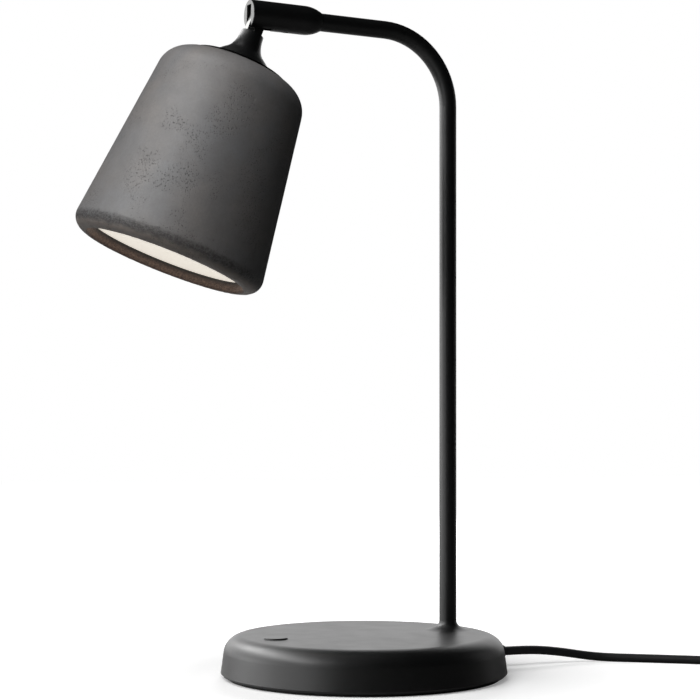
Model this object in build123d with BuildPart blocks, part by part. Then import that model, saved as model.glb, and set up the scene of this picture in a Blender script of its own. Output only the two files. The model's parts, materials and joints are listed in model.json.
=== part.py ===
from build123d import *
import os
from math import cos, radians, sin, sqrt, tan

# Table lamp: a concrete shade on a bent steel arm over a round weighted base.
# Millimetres, +Z up.  The origin is the centre of the foot pad's underside.
# The arm lies in the XZ plane: the pole stands at +X and the shade hangs at -X.

os.makedirs("parts", exist_ok=True)

# ---------------------------------------------------------------- dimensions
# Base
foot_radius = 93.0
foot_top = 2.0
widest_z = 3.5
base_radius = 97.1
base_draft = 0.14               # how far the side leans in for each mm of height
base_top = 28.4
base_edge_fillet = 12.5
base_top_radius = base_radius - base_draft * (base_top - widest_z)
under_edge_radius = 95.6
cover_radius = 92.6
cover_top = 3.6
hollow_radius = 89.0
hollow_top = 23.0
boss_circle = 83.0
boss_radius = 5.0
ballast_radius = 77.0
ballast_bottom = 15.5
ballast_head_radius = 3.8
ballast_shank_radius = 2.1
cover_screw_radius = 1.7
clamp_block = (6.4, 22.0)
gland_hole_radius = 5.0
driver_middle = (-5, 18)
driver_bottom = 5.0
driver_tab = 2.5                # thickness of the driver's fixing tabs
driver_screw_spots = ((-33, 18), (23, 18))
terminal_middle = (30, -26)
terminal_bottom = 5.5
small_screw_radius = 1.2

# Pole and arm
pole_x = 64.5
tube_radius = 5.9
tube_bore = 4.0
flare_reach = 11.3              # how far the foot's flare spreads beyond the tube
flare_rise = 6.5
flare_foot = tube_radius + flare_reach
flare_top = base_top + flare_rise
flare_seat = base_top - 1.0
bend_radius = 48.8
arm_z = 440.5
tube_end_x = -50.0
stud_radius = 5.0
stud_bore = 2.6
stud_bottom = 15.5
spigot_top = 58.0
wire_radius = 1.7

# Swivel and tilt joint
barrel_radius = 9.5
barrel_face_x = -83.7
barrel_taper_x = -44.2
barrel_shoulder = (-37.1, 8.2)  # a point of the rounded end
barrel_tip_x = -33.1
barrel_tip_radius = 6.4
barrel_bore = tube_radius + 0.05
barrel_bore_end_x = -62.5
slot_end_x = -67.0
slot_width = 7.6
slot_top = 6.2                  # above the barrel's axis
groove_x = -57.5
groove_half_width = 2.4
groove_radius = 4.5
plug_end_x = -62.0
plug_bore = 2.2
pin_x = -76.2
pin_radius = 2.0
screw_radius = 2.0

# Head, measured along the shade's axis from the hinge pin
roll = radians(4.66)            # the head's turn about the arm's axis
tilt = radians(20.3)            # the shade's lean towards -X
tongue_radius = 5.3
tongue_thickness = 6.5
neck_top = 13.3
neck_radius = 7.8
trumpet_radius = 24.0
shank_radius = 4.0
shank_end = 80.0
wire_bore = 1.6
dome_top = 35.0
dome_radius = 135.0
dome_centre = dome_top + dome_radius
shoulder_radius = 48.65
shoulder_fillet = 17.4
rim_s = 175.4
rim_radius = 65.8
rim_fillet = 9.5
mouth_radius = 54.0
mouth_chamfer = 0.8
seat_s = 165.5
seat_radius = 51.5
inner_top = 45.0
inner_shoulder_radius = 41.4
inner_shoulder_s = 52.0
inner_fillet = 12.0
flange_radius = 32.5
flange_thickness = 0.8
gasket_thickness = 0.4
gasket_radius = 31.0
diffuser_radius = 53.7
diffuser_s = 168.0
board_s = 88.0                  # the LED board's upper face
board_thickness = 1.6
board_radius = 30.0
sink_screw_circle = 26.0
sink_radius = 36.0
sink_plate = 4.0
sink_hub_s = 62.0
sink_fin_s = 66.0
nut_radius = 7.5
hinge_hole_depth = 7.5          # from the arm's axis to the blind end
washer_radius = 5.0
washer_thickness = 0.5

# Dimmer
dimmer_x = -64.5
button_radius = 7.8
button_hole = 8.0
button_top = base_top + 1.0
button_flange_radius = 9.6
button_flange_top = 22.8
button_flange_bottom = 21.2
stem_bottom = 16.7
stem_radius = 2.2
board_bottom = 9.4
board_top = 11.0
board_screw_y = 13.5
board_screw_radius = 1.0
board_post_radius = 2.8
board_screw_spots = ((dimmer_x, -board_screw_y), (dimmer_x, board_screw_y))

# Mains lead
cord_radius = 3.1
cord_z = 11.1
clamp_x = 82.0
clamp_thickness = 5.0
clamp_screw_y = 7.5
clamp_screw_spots = ((clamp_x, -clamp_screw_y), (clamp_x, clamp_screw_y))
gland_tip_x = 109.0
cord_route = [
    (109, 0, 11.1),
    (126, 0, 11.1),
    (144, 0.2, 9.8),
    (161, -0.6, 7.3),
    (176, -2.8, 4.6),
    (190, -8.5, 3.2),
    (206, -19.5, 3.1),
    (224, -33.5, 3.1),
    (244, -50, 3.1),
    (265, -66.5, 3.1),
    (285, -80.3, 3.1),
]
coil_centre = (257.0, -116.8)
coil_inner = 21.8
coil_outer = 49.2
coil_height = 12.6
tail_route = [
    (217.0, -93.7, 9.4),
    (224.5, -83.6, 10.4),
    (236.3, -76.7, 13.2),
    (249.6, -74.8, 16.9),
    (262.7, -78.3, 19.45),
    (272.2, -85.6, 19.45),
]
inner_route = [
    (gland_tip_x, 0, cord_z),
    (72, 0, cord_z),
    (57, -26, cord_z),
    (42, -26, cord_z),
]
plug_width = 35.3
plug_thickness = 13.7
plug_length = 36.0
relief_length = 15.0
pin_spacing = 18.6
plug_pin_length = 19.0
plug_pin_radius = 2.0
plug_neck = 6.5                 # half the body's width at the relief
plug_taper = 20.0               # length over which the body widens
relief_radii = (4.0, 5.8)
tie_thickness = 0.8
tie_half_width = 4.5

# ------------------------------------------------------------------- planes
pin_point = Vector(pin_x, 0, arm_z)
pin_dir = Vector(0, cos(roll), sin(roll))
shade_dir = Vector(-sin(tilt), cos(tilt) * sin(roll), -cos(tilt) * cos(roll))
side_dir = Vector(cos(tilt), sin(tilt) * sin(roll), -sin(tilt) * cos(roll))
down_dir = Vector(0, sin(roll), -cos(roll))
arm_axis = Axis((0, 0, arm_z), (1, 0, 0))
head_axis = Axis(pin_point, shade_dir)
# x is the distance from the shade's axis, y the distance from the pin
head_profile = Plane(origin=pin_point, x_dir=side_dir, z_dir=pin_dir)
# square to the shade's axis, at the pin
head_section = Plane(origin=pin_point, x_dir=side_dir, z_dir=shade_dir)
# x runs along the arm, y is the height above it
arm_profile = Plane(origin=(0, 0, arm_z), x_dir=(1, 0, 0), z_dir=(0, -1, 0))
slot_plane = Plane(origin=(0, 0, arm_z), x_dir=(1, 0, 0), z_dir=-pin_dir)
# square to the hinge pin, at its hole's blind end
hinge_plane = Plane(
    origin=pin_point - pin_dir * hinge_hole_depth, x_dir=(1, 0, 0), z_dir=pin_dir
)
pole_axis = Axis((pole_x, 0, 0), (0, 0, 1))
pole_profile = Plane(origin=(pole_x, 0, 0), x_dir=(1, 0, 0), z_dir=(0, -1, 0))
exit_axis = Axis((0, 0, cord_z), (1, 0, 0))
exit_profile = Plane(origin=(0, 0, cord_z), x_dir=(1, 0, 0), z_dir=(0, -1, 0))


def route_radii(route):
    """The radius of each inner corner: as large as its two runs leave room for."""
    radii = []
    for before, corner, after in zip(route, route[1:], route[2:]):
        run_in = Vector(corner) - Vector(before)
        run_out = Vector(after) - Vector(corner)
        half_turn = radians(run_in.get_angle(run_out)) / 2
        radii.append(0.45 * min(run_in.length, run_out.length) / tan(half_turn))
    return radii


def dome_point(radius, across):
    """The point of a sphere about the dome's centre at a distance from the axis."""
    return (across, dome_centre - sqrt(radius**2 - across**2))


def dome_arc(radius, start, end):
    """An arc of that sphere between two distances from the axis."""
    middle = (start + end) / 2
    return ThreePointArc(
        dome_point(radius, start), dome_point(radius, middle), dome_point(radius, end)
    )


def start_plane(route):
    """The plane of a cord's first section, square to its first run."""
    return Plane(origin=route[0], z_dir=Vector(route[1]) - Vector(route[0]))


# --------------------------------------------------------------------- base
with BuildPart() as foot_pad:
    with BuildSketch(Plane.XY):
        Circle(foot_radius)
    extrude(amount=foot_top)
    chamfer(foot_pad.edges().group_by(Axis.Z)[0], length=0.5)
foot_pad.part.label = "foot_pad"
export_step(foot_pad.part, "parts/foot_pad.step")

# Steel shell, open below, with screw bosses and a seat for the pole's foot
with BuildPart() as base_body:
    with BuildSketch(Plane.XZ) as base_outline:
        with BuildLine():
            Polyline(
                (0, base_top),
                (base_top_radius, base_top),
                (base_radius, widest_z),
                (under_edge_radius, foot_top),
                (cover_radius, foot_top),
                (cover_radius, cover_top),
                (hollow_radius, cover_top),
                (hollow_radius, hollow_top),
                (0, hollow_top),
                close=True,
            )
        make_face()
        top_corner = base_outline.vertices().sort_by(Axis.Y)[-2:].sort_by(Axis.X)[-1]
        fillet(top_corner, base_edge_fillet)
    revolve(axis=Axis.Z)
    with BuildSketch(Plane.XY.offset(cover_top)):
        with PolarLocations(boss_circle, 4, start_angle=45):
            Circle(boss_radius)
    extrude(until=Until.NEXT)
    # block that the lead's clamp is screwed to
    with BuildSketch(Plane.XY.offset(ballast_bottom)):
        with Locations((clamp_x, 0)):
            Rectangle(*clamp_block)
    extrude(until=Until.NEXT)
    # posts for the dimmer's board
    with BuildSketch(Plane.XY.offset(board_top)):
        with Locations(*board_screw_spots):
            Circle(board_post_radius)
    extrude(until=Until.NEXT)
    # holes for the pole's foot and stud, the button and the lead's gland
    with Locations((pole_x, 0, base_top)):
        Hole(radius=flare_foot, depth=base_top - flare_seat)
        Hole(radius=stud_radius)
    with Locations((dimmer_x, 0, base_top)):
        Hole(radius=button_hole)
    with BuildSketch(Plane.YZ.offset(80)):
        with Locations((0, cord_z)):
            Circle(gland_hole_radius)
    extrude(amount=20, mode=Mode.SUBTRACT)
    # screw holes in the bosses and posts
    with BuildSketch(Plane.XY.offset(cover_top)):
        with PolarLocations(boss_circle, 4, start_angle=45):
            Circle(cover_screw_radius)
    extrude(amount=10, mode=Mode.SUBTRACT)
    with BuildSketch(Plane.XY.offset(board_top)):
        with Locations(*board_screw_spots):
            Circle(board_screw_radius)
    extrude(amount=6, mode=Mode.SUBTRACT)
    with BuildSketch(Plane.XY.offset(ballast_bottom)):
        with Locations(*clamp_screw_spots):
            Circle(small_screw_radius)
    extrude(amount=6, mode=Mode.SUBTRACT)
base_body.part.label = "base_body"
export_step(base_body.part, "parts/base_body.step")

with BuildPart() as base_cover:
    with BuildSketch(Plane.XY.offset(foot_top)):
        Circle(cover_radius)
    extrude(amount=cover_top - foot_top)
    with Locations(Plane.XY.offset(foot_top).rotated((180, 0, 0))):
        with PolarLocations(boss_circle, 4, start_angle=45):
            CounterSinkHole(radius=1.8, counter_sink_radius=3.2)
base_cover.part.label = "base_cover"
export_step(base_cover.part, "parts/base_cover.step")

with BuildPart() as cover_screws:
    with BuildSketch(Plane.XY.offset(foot_top)):
        with PolarLocations(boss_circle, 4, start_angle=45):
            Circle(3.1)
    extrude(amount=1.4, taper=44)
    with BuildSketch(Plane.XY.offset(foot_top)):
        with PolarLocations(boss_circle, 4, start_angle=45):
            Circle(cover_screw_radius)
    extrude(amount=10)
cover_screws.part.label = "cover_screws"
export_step(cover_screws.part, "parts/cover_screws.step")

# Cast ring that keeps the lamp from tipping, cut away at the stud and the dimmer
with BuildPart() as ballast_plate:
    with BuildSketch(Plane.XY.offset(ballast_bottom)):
        Circle(ballast_radius)
        with Locations((pole_x, 0)):
            Circle(13.5, mode=Mode.SUBTRACT)
        with Locations((dimmer_x, 0)):
            Circle(18, mode=Mode.SUBTRACT)
        with Locations(*driver_screw_spots):
            Circle(small_screw_radius, mode=Mode.SUBTRACT)
        with GridLocations(70, 100, 2, 2):
            Circle(ballast_shank_radius, mode=Mode.SUBTRACT)
    extrude(amount=hollow_top - ballast_bottom)
ballast_plate.part.label = "ballast_plate"
export_step(ballast_plate.part, "parts/ballast_plate.step")

with BuildPart() as ballast_screws:
    with BuildSketch(Plane.XY.offset(ballast_bottom - 2.4)):
        with GridLocations(70, 100, 2, 2):
            Circle(ballast_head_radius)
            RegularPolygon(radius=1.8, side_count=6, mode=Mode.SUBTRACT)
    extrude(amount=1.6)
    with BuildSketch(Plane.XY.offset(ballast_bottom - 0.8)):
        with GridLocations(70, 100, 2, 2):
            Circle(ballast_head_radius)
    extrude(amount=0.8)
    with BuildSketch(Plane.XY.offset(ballast_bottom)):
        with GridLocations(70, 100, 2, 2):
            Circle(ballast_shank_radius)
    extrude(amount=hollow_top - ballast_bottom)
ballast_screws.part.label = "ballast_screws"
export_step(ballast_screws.part, "parts/ballast_screws.step")

# -------------------------------------------------------------- pole and arm
# Turned foot: flare on the base, spigot up into the tube, stud down through the base
with BuildPart() as pole_foot:
    with BuildSketch(pole_profile):
        with BuildLine():
            Polyline(
                (tube_radius, flare_top),
                (tube_bore, flare_top),
                (tube_bore, spigot_top - 1),
                (tube_bore - 1, spigot_top),
                (stud_bore, spigot_top),
                (stud_bore, stud_bottom),
                (stud_radius, stud_bottom),
                (stud_radius, flare_seat),
                (flare_foot, flare_seat),
                (flare_foot, base_top),
            )
            EllipticalCenterArc(
                (flare_foot, flare_top), flare_reach, flare_rise, start_angle=180, arc_size=90
            )
        make_face()
    revolve(axis=pole_axis)
pole_foot.part.label = "pole_foot"
export_step(pole_foot.part, "parts/pole_foot.step")

with BuildPart() as pole_washer:
    with BuildSketch(Plane.XY.offset(hollow_top - 1.4)):
        with Locations((pole_x, 0)):
            Circle(11)
            Circle(stud_radius, mode=Mode.SUBTRACT)
    extrude(amount=1.4)
pole_washer.part.label = "pole_washer"
export_step(pole_washer.part, "parts/pole_washer.step")

with BuildPart() as pole_nut:
    with BuildSketch(Plane.XY.offset(hollow_top - 6.4)):
        with Locations((pole_x, 0)):
            RegularPolygon(radius=9.6, side_count=6)
            Circle(stud_radius, mode=Mode.SUBTRACT)
    extrude(amount=5)
pole_nut.part.label = "pole_nut"
export_step(pole_nut.part, "parts/pole_nut.step")

with BuildPart() as pole_tube:
    with BuildLine(Plane.XZ) as tube_path:
        FilletPolyline(
            (pole_x, flare_top), (pole_x, arm_z), (tube_end_x, arm_z), radius=bend_radius
        )
    with BuildSketch(Plane.XY.offset(flare_top)):
        with Locations((pole_x, 0)):
            Circle(tube_radius)
            Circle(tube_bore, mode=Mode.SUBTRACT)
    sweep(path=tube_path.wires()[0])
pole_tube.part.label = "pole_tube"
export_step(pole_tube.part, "parts/pole_tube.step")

# Plug pressed into the arm's end; its groove takes the barrel's set screw
with BuildPart() as arm_end_plug:
    with BuildSketch(arm_profile):
        with BuildLine():
            Polyline(
                (tube_end_x + 14, tube_bore),
                (tube_end_x, tube_bore),
                (tube_end_x, tube_radius),
                (groove_x + groove_half_width, tube_radius),
                (groove_x + groove_half_width, groove_radius),
                (groove_x - groove_half_width, groove_radius),
                (groove_x - groove_half_width, tube_radius),
                (plug_end_x, tube_radius),
                (plug_end_x, plug_bore),
                (tube_end_x + 14, plug_bore),
                close=True,
            )
        make_face()
    revolve(axis=arm_axis)
arm_end_plug.part.label = "arm_end_plug"
export_step(arm_end_plug.part, "parts/arm_end_plug.step")

with BuildPart() as pole_wire:
    with BuildLine(Plane.XZ) as wire_path:
        FilletPolyline(
            (pole_x, stud_bottom - 2), (pole_x, arm_z), (plug_end_x, arm_z), radius=bend_radius
        )
    with BuildSketch(Plane.XY.offset(stud_bottom - 2)):
        with Locations((pole_x, 0)):
            Circle(wire_radius)
    sweep(path=wire_path.wires()[0])
pole_wire.part.label = "pole_wire"
export_step(pole_wire.part, "parts/pole_wire.step")

# ------------------------------------------------------------------- dimmer
with BuildPart() as dimmer_button:
    with BuildSketch(Plane.XY.offset(button_flange_bottom)):
        with Locations((dimmer_x, 0)):
            Circle(button_flange_radius)
    extrude(amount=button_flange_top - button_flange_bottom)
    with BuildSketch(Plane.XY.offset(button_flange_top)):
        with Locations((dimmer_x, 0)):
            Circle(button_radius)
    extrude(amount=button_top - button_flange_top)
    fillet(dimmer_button.edges().group_by(Axis.Z)[-1], radius=0.45)
    with BuildSketch(Plane.XY.offset(stem_bottom)):
        with Locations((dimmer_x, 0)):
            Circle(stem_radius)
    extrude(amount=button_flange_bottom - stem_bottom)
dimmer_button.part.label = "dimmer_button"
export_step(dimmer_button.part, "parts/dimmer_button.step")

# Return spring between the board and the button's flange
spring_height = button_flange_bottom - board_top - 1.0
with BuildPart() as button_spring:
    with BuildLine() as spring_path:
        Helix(
            pitch=spring_height / 4,
            height=spring_height,
            radius=6.2,
            center=(dimmer_x, 0, board_top + 0.5),
        )
    with BuildSketch(Plane(origin=spring_path.wires()[0] @ 0, z_dir=spring_path.wires()[0] % 0)):
        Circle(0.4)
    sweep(path=spring_path.wires()[0], is_frenet=True)
button_spring.part.label = "button_spring"
export_step(button_spring.part, "parts/button_spring.step")

with BuildPart() as dimmer_board:
    with BuildSketch(Plane.XY.offset(board_bottom)):
        with Locations((dimmer_x, 0)):
            RectangleRounded(24, 34, 2)
        with Locations(*board_screw_spots):
            Circle(board_screw_radius, mode=Mode.SUBTRACT)
    extrude(amount=board_top - board_bottom)
dimmer_board.part.label = "dimmer_board"
export_step(dimmer_board.part, "parts/dimmer_board.step")

with BuildPart() as board_screws:
    with BuildSketch(Plane.XY.offset(board_bottom - 1.4)):
        with Locations(*board_screw_spots):
            Circle(2.0)
    extrude(amount=1.4)
    with BuildSketch(Plane.XY.offset(board_bottom)):
        with Locations(*board_screw_spots):
            Circle(board_screw_radius)
    extrude(amount=6)
board_screws.part.label = "board_screws"
export_step(board_screws.part, "parts/board_screws.step")

with BuildPart() as tact_switch:
    with BuildSketch(Plane.XY.offset(board_top)):
        with Locations((dimmer_x, 0)):
            RectangleRounded(6, 6, 0.6)
    extrude(amount=3.4)
    with BuildSketch(Plane.XY.offset(board_top + 3.4)):
        with Locations((dimmer_x, 0)):
            Circle(1.7)
    extrude(amount=1.2)
tact_switch.part.label = "tact_switch"
export_step(tact_switch.part, "parts/tact_switch.step")

# -------------------------------------------------- driver and lead in the base
with BuildPart() as led_driver:
    with BuildSketch(Plane.XY.offset(driver_bottom)):
        with Locations(driver_middle):
            RectangleRounded(46, 34, 3)
    extrude(amount=ballast_bottom - driver_bottom)
    fillet(led_driver.edges().group_by(Axis.Z)[0], radius=1.5)
    with BuildSketch(Plane.XY.offset(ballast_bottom - driver_tab)):
        with Locations(driver_middle):
            RectangleRounded(64, 12, 3)
        with Locations(*driver_screw_spots):
            Circle(1.6, mode=Mode.SUBTRACT)
    extrude(amount=driver_tab)
led_driver.part.label = "led_driver"
export_step(led_driver.part, "parts/led_driver.step")

with BuildPart() as driver_screws:
    with BuildSketch(Plane.XY.offset(ballast_bottom - driver_tab - 1.8)):
        with Locations(*driver_screw_spots):
            Circle(2.6)
    extrude(amount=1.8)
    with BuildSketch(Plane.XY.offset(ballast_bottom - driver_tab)):
        with Locations(*driver_screw_spots):
            Circle(small_screw_radius)
    extrude(amount=8)
driver_screws.part.label = "driver_screws"
export_step(driver_screws.part, "parts/driver_screws.step")

with BuildPart() as terminal_block:
    with BuildSketch(Plane.XY.offset(terminal_bottom)):
        with Locations(terminal_middle):
            RectangleRounded(24, 18, 1.5)
    extrude(amount=ballast_bottom - terminal_bottom)
    with Locations((*terminal_middle, terminal_bottom)):
        with GridLocations(8, 11, 2, 2):
            Cylinder(radius=1.8, height=5, mode=Mode.SUBTRACT)
terminal_block.part.label = "terminal_block"
export_step(terminal_block.part, "parts/terminal_block.step")

with BuildPart() as cord_gland:
    with BuildSketch(exit_profile):
        with BuildLine():
            Polyline(
                (85.5, cord_radius),
                (85.5, 7.4),
                (88.4, 7.4),
                (88.4, 5.0),
                (97.2, 5.0),
                (97.2, 6.2),
                (99.2, 6.2),
                (gland_tip_x, 4.1),
                (gland_tip_x, cord_radius),
                close=True,
            )
        make_face()
    revolve(axis=exit_axis)
cord_gland.part.label = "cord_gland"
export_step(cord_gland.part, "parts/cord_gland.step")

with BuildPart() as cord_inner:
    with BuildLine() as inner_path:
        FilletPolyline(*inner_route, radius=12)
    with BuildSketch(start_plane(inner_route)):
        Circle(cord_radius)
    sweep(path=inner_path.wires()[0])
cord_inner.part.label = "cord_inner"
export_step(cord_inner.part, "parts/cord_inner.step")

with BuildPart() as cord_clamp:
    with BuildSketch(Plane.YZ.offset(clamp_x - clamp_thickness / 2)):
        with Locations((0, 11.5)):
            RectangleRounded(20, 8, 1.5)
        with Locations((0, cord_z)):
            Circle(cord_radius, mode=Mode.SUBTRACT)
    extrude(amount=clamp_thickness)
    with Locations((clamp_x, 0, ballast_bottom)):
        with GridLocations(1, 2 * clamp_screw_y, 1, 2):
            Hole(radius=small_screw_radius)
cord_clamp.part.label = "cord_clamp"
export_step(cord_clamp.part, "parts/cord_clamp.step")

with BuildPart() as clamp_screws:
    with BuildSketch(Plane.XY.offset(6.1)):
        with Locations(*clamp_screw_spots):
            Circle(2.2)
    extrude(amount=1.4)
    with BuildSketch(Plane.XY.offset(7.5)):
        with Locations(*clamp_screw_spots):
            Circle(1.15)
    extrude(amount=12)
clamp_screws.part.label = "clamp_screws"
export_step(clamp_screws.part, "parts/clamp_screws.step")

# --------------------------------------------------------- mains lead and plug
cord_radii = route_radii(cord_route)
with BuildPart() as cord_lead:
    with BuildLine() as cord_path:
        FilletPolyline(*cord_route, radius=cord_radii)
    with BuildSketch(start_plane(cord_route)):
        Circle(cord_radius)
    sweep(path=cord_path.wires()[0])
cord_lead.part.label = "cord_lead"
export_step(cord_lead.part, "parts/cord_lead.step")

tail_radii = route_radii(tail_route)
with BuildPart() as cord_tail:
    with BuildLine() as tail_path:
        FilletPolyline(*tail_route, radius=tail_radii)
    with BuildSketch(start_plane(tail_route)):
        Circle(cord_radius)
    sweep(path=tail_path.wires()[0])
cord_tail.part.label = "cord_tail"
export_step(cord_tail.part, "parts/cord_tail.step")

# The wound-up rest of the lead, as the outer shape of its turns
with BuildPart() as cord_coil:
    with BuildSketch(Plane.XY):
        with Locations(coil_centre):
            Circle(coil_outer)
            Circle(coil_inner, mode=Mode.SUBTRACT)
    extrude(amount=coil_height)
    fillet(cord_coil.edges().filter_by(GeomType.CIRCLE), radius=2.5)
cord_coil.part.label = "cord_coil"
export_step(cord_coil.part, "parts/cord_coil.step")

# Tie round the coil's turns, on the side away from the plug
tie_angle = radians(-125)
tie_plane = Plane(
    origin=(*coil_centre, 0),
    x_dir=(cos(tie_angle), sin(tie_angle), 0),
    z_dir=(sin(tie_angle), -cos(tie_angle), 0),
)
tie_middle = (coil_inner + coil_outer) / 2
tie_span = coil_outer - coil_inner
with BuildPart() as coil_tie:
    with BuildSketch(tie_plane):
        with Locations((tie_middle, (coil_height + tie_thickness) / 2)):
            RectangleRounded(tie_span + 2 * tie_thickness, coil_height + tie_thickness, 3.2)
            RectangleRounded(tie_span, coil_height - tie_thickness, 2.6, mode=Mode.SUBTRACT)
    extrude(amount=tie_half_width, both=True)
coil_tie.part.label = "coil_tie"
export_step(coil_tie.part, "parts/coil_tie.step")

# Two-pin plug lying on the coil, in line with the lead's end
plug_dir = Vector(0.793, -0.609, 0).normalized()
plug_side = Vector(0.609, 0.793, 0).normalized()
plug_start = Vector(tail_route[-1])
plug_plane = Plane(origin=plug_start, x_dir=plug_dir, z_dir=(0, 0, 1))
relief_end = plug_start + plug_dir * relief_length
plug_face = relief_end + plug_dir * plug_length
with BuildPart() as plug_relief:
    with BuildSketch(plug_plane):
        with BuildLine():
            Polyline(
                (0, 0),
                (0, relief_radii[0]),
                (relief_length, relief_radii[1]),
                (relief_length, 0),
                close=True,
            )
        make_face()
    revolve(axis=Axis(plug_start, plug_dir))
plug_relief.part.label = "plug_relief"
export_step(plug_relief.part, "parts/plug_relief.step")

with BuildPart() as plug_body:
    with BuildSketch(plug_plane) as plug_outline:
        with BuildLine():
            Polyline(
                (relief_length, plug_neck),
                (relief_length + plug_taper, plug_width / 2),
                (relief_length + plug_length, plug_width / 2),
                (relief_length + plug_length, -plug_width / 2),
                (relief_length + plug_taper, -plug_width / 2),
                (relief_length, -plug_neck),
                close=True,
            )
        make_face()
        fillet(plug_outline.vertices(), radius=3)
    extrude(amount=plug_thickness / 2, both=True)
    fillet(plug_body.faces().filter_by(Axis.Z).edges(), radius=2.5)
plug_body.part.label = "plug_body"
export_step(plug_body.part, "parts/plug_body.step")

with BuildPart() as plug_pins:
    with BuildSketch(Plane(origin=plug_face, x_dir=plug_side, z_dir=plug_dir)):
        with Locations((-pin_spacing / 2, 0), (pin_spacing / 2, 0)):
            Circle(plug_pin_radius)
    extrude(amount=plug_pin_length)
    fillet(plug_pins.edges().sort_by(Axis(plug_face, plug_dir))[-2:], radius=1.6)
plug_pins.part.label = "plug_pins"
export_step(plug_pins.part, "parts/plug_pins.step")

# --------------------------------------------------------------- joint barrel
with BuildPart() as joint_barrel:
    with BuildSketch(arm_profile):
        with BuildLine():
            Polyline(
                (barrel_taper_x, barrel_radius),
                (barrel_face_x + 0.4, barrel_radius),
                (barrel_face_x, barrel_radius - 0.4),
                (barrel_face_x, 0),
                (slot_end_x, 0),
                (slot_end_x, plug_bore),
                (barrel_bore_end_x, plug_bore),
                (barrel_bore_end_x, barrel_bore),
                (barrel_tip_x, barrel_bore),
                (barrel_tip_x, barrel_tip_radius),
            )
            ThreePointArc(
                (barrel_tip_x, barrel_tip_radius), barrel_shoulder, (barrel_taper_x, barrel_radius)
            )
        make_face()
    revolve(axis=arm_axis)
    # slot for the knuckle, open at the end and below
    with BuildSketch(slot_plane):
        with BuildLine():
            Polyline(
                (barrel_face_x - 1, slot_top),
                (slot_end_x, slot_top),
                (slot_end_x, -barrel_radius - 1),
                (barrel_face_x - 1, -barrel_radius - 1),
                close=True,
            )
        make_face()
    extrude(amount=slot_width / 2, both=True, mode=Mode.SUBTRACT)
    # blind hole for the hinge pin
    with BuildSketch(hinge_plane):
        Circle(pin_radius)
    extrude(amount=20, mode=Mode.SUBTRACT)
    # hole for the set screw, from below
    with BuildSketch(Plane(origin=(groove_x, 0, arm_z), x_dir=(1, 0, 0), z_dir=down_dir)):
        Circle(screw_radius)
    extrude(amount=12, mode=Mode.SUBTRACT)
joint_barrel.part.label = "joint_barrel"
export_step(joint_barrel.part, "parts/joint_barrel.step")

with BuildPart() as set_screw:
    with BuildSketch(
        Plane(origin=Vector(groove_x, 0, arm_z) + down_dir * 5.0, x_dir=(1, 0, 0), z_dir=down_dir)
    ):
        Circle(screw_radius)
    extrude(amount=4.0)
    with BuildSketch(
        Plane(origin=Vector(groove_x, 0, arm_z) + down_dir * 7.2, x_dir=(1, 0, 0), z_dir=down_dir)
    ):
        RegularPolygon(radius=1.15, side_count=6)
    extrude(amount=2.0, mode=Mode.SUBTRACT)
set_screw.part.label = "set_screw"
export_step(set_screw.part, "parts/set_screw.step")

# Nylon slug that the set screw presses into the groove: it holds the swivel
with BuildPart() as swivel_brake:
    with BuildSketch(
        Plane(origin=Vector(groove_x, 0, arm_z) + down_dir * 4.55, x_dir=(1, 0, 0), z_dir=down_dir)
    ):
        Circle(1.9)
    extrude(amount=0.45)
swivel_brake.part.label = "swivel_brake"
export_step(swivel_brake.part, "parts/swivel_brake.step")

with BuildPart() as hinge_pin:
    with BuildSketch(hinge_plane):
        Circle(pin_radius)
    extrude(amount=16.2)
hinge_pin.part.label = "hinge_pin"
export_step(hinge_pin.part, "parts/hinge_pin.step")

# Nylon washers each side of the tongue, against the slot's walls
with BuildPart() as friction_washers:
    with BuildSketch(Plane(origin=pin_point + pin_dir * 3.3, x_dir=(1, 0, 0), z_dir=pin_dir)):
        Circle(washer_radius)
        Circle(pin_radius, mode=Mode.SUBTRACT)
    extrude(amount=washer_thickness)
    with BuildSketch(Plane(origin=pin_point - pin_dir * 3.3, x_dir=(1, 0, 0), z_dir=-pin_dir)):
        Circle(washer_radius)
        Circle(pin_radius, mode=Mode.SUBTRACT)
    extrude(amount=washer_thickness)
friction_washers.part.label = "friction_washers"
export_step(friction_washers.part, "parts/friction_washers.step")

# --------------------------------------------------------------------- head
# Tongue on the hinge pin with a hollow threaded shank down through the shade
with BuildPart() as knuckle:
    with BuildSketch(head_profile):
        Circle(tongue_radius)
        with Locations((0, neck_top / 2)):
            Rectangle(2 * tongue_radius, neck_top)
    extrude(amount=tongue_thickness / 2, both=True)
    with BuildSketch(head_section.offset(neck_top)):
        Circle(shank_radius)
    extrude(amount=shank_end - neck_top)
    with BuildSketch(head_profile):
        Circle(pin_radius + 0.05)
    extrude(amount=tongue_thickness, both=True, mode=Mode.SUBTRACT)
    with BuildSketch(head_section.offset(9.5)):
        Circle(wire_bore)
    extrude(amount=shank_end, mode=Mode.SUBTRACT)
    # the wire comes out of the tongue's arm side
    with BuildSketch(Plane(origin=pin_point + shade_dir * 9.8, x_dir=pin_dir, z_dir=side_dir)):
        Circle(wire_bore)
    extrude(amount=10, mode=Mode.SUBTRACT)
knuckle.part.label = "knuckle"
export_step(knuckle.part, "parts/knuckle.step")

with BuildPart() as head_wire:
    with BuildSketch(head_section.offset(14)):
        Circle(1.4)
    extrude(amount=board_s - 14)
head_wire.part.label = "head_wire"
export_step(head_wire.part, "parts/head_wire.step")

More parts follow.
